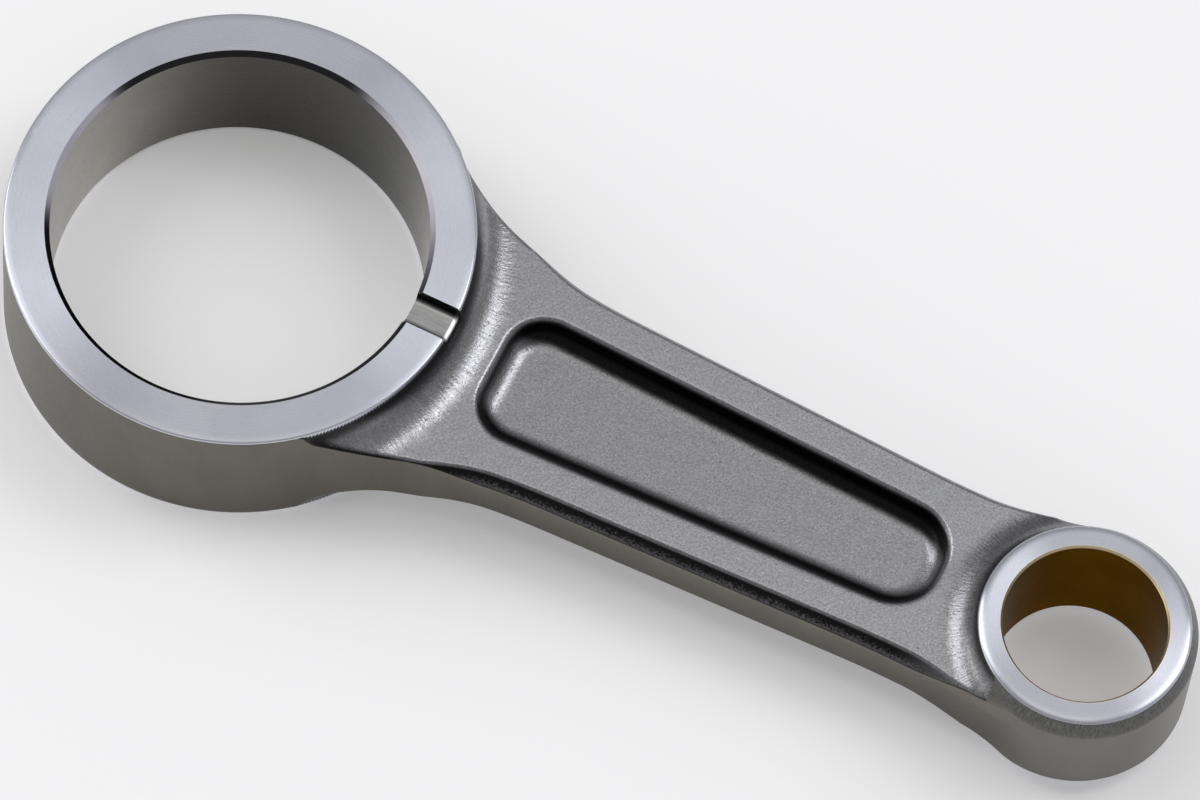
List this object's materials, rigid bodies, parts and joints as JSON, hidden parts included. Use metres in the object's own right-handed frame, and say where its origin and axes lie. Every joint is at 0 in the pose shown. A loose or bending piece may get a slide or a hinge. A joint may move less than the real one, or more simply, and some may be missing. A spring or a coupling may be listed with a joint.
{
  "type": "connecting rod",
  "caption": "Forged steel connecting rod with a wide roller-track big end, a pocketed beam and a bronze-lined bush pressed into its small end.",
  "frame": {"origin": "centre of the big-end bore, halfway between the two big-end faces", "axes": "+X from the big end towards the small end, +Z along both bores, +Y completes the right-handed frame"},
  "size_m": [0.1486, 0.0548, 0.0202],
  "materials": {
    "forged_steel": "shot-peened beam, ground faces and side walls",
    "bush_bronze": "bored bronze lining"
  },
  "bodies": {
    "root": {"rod_forging": "forged_steel", "small_end_bush": "bush_bronze"}
  },
  "joints": []
}
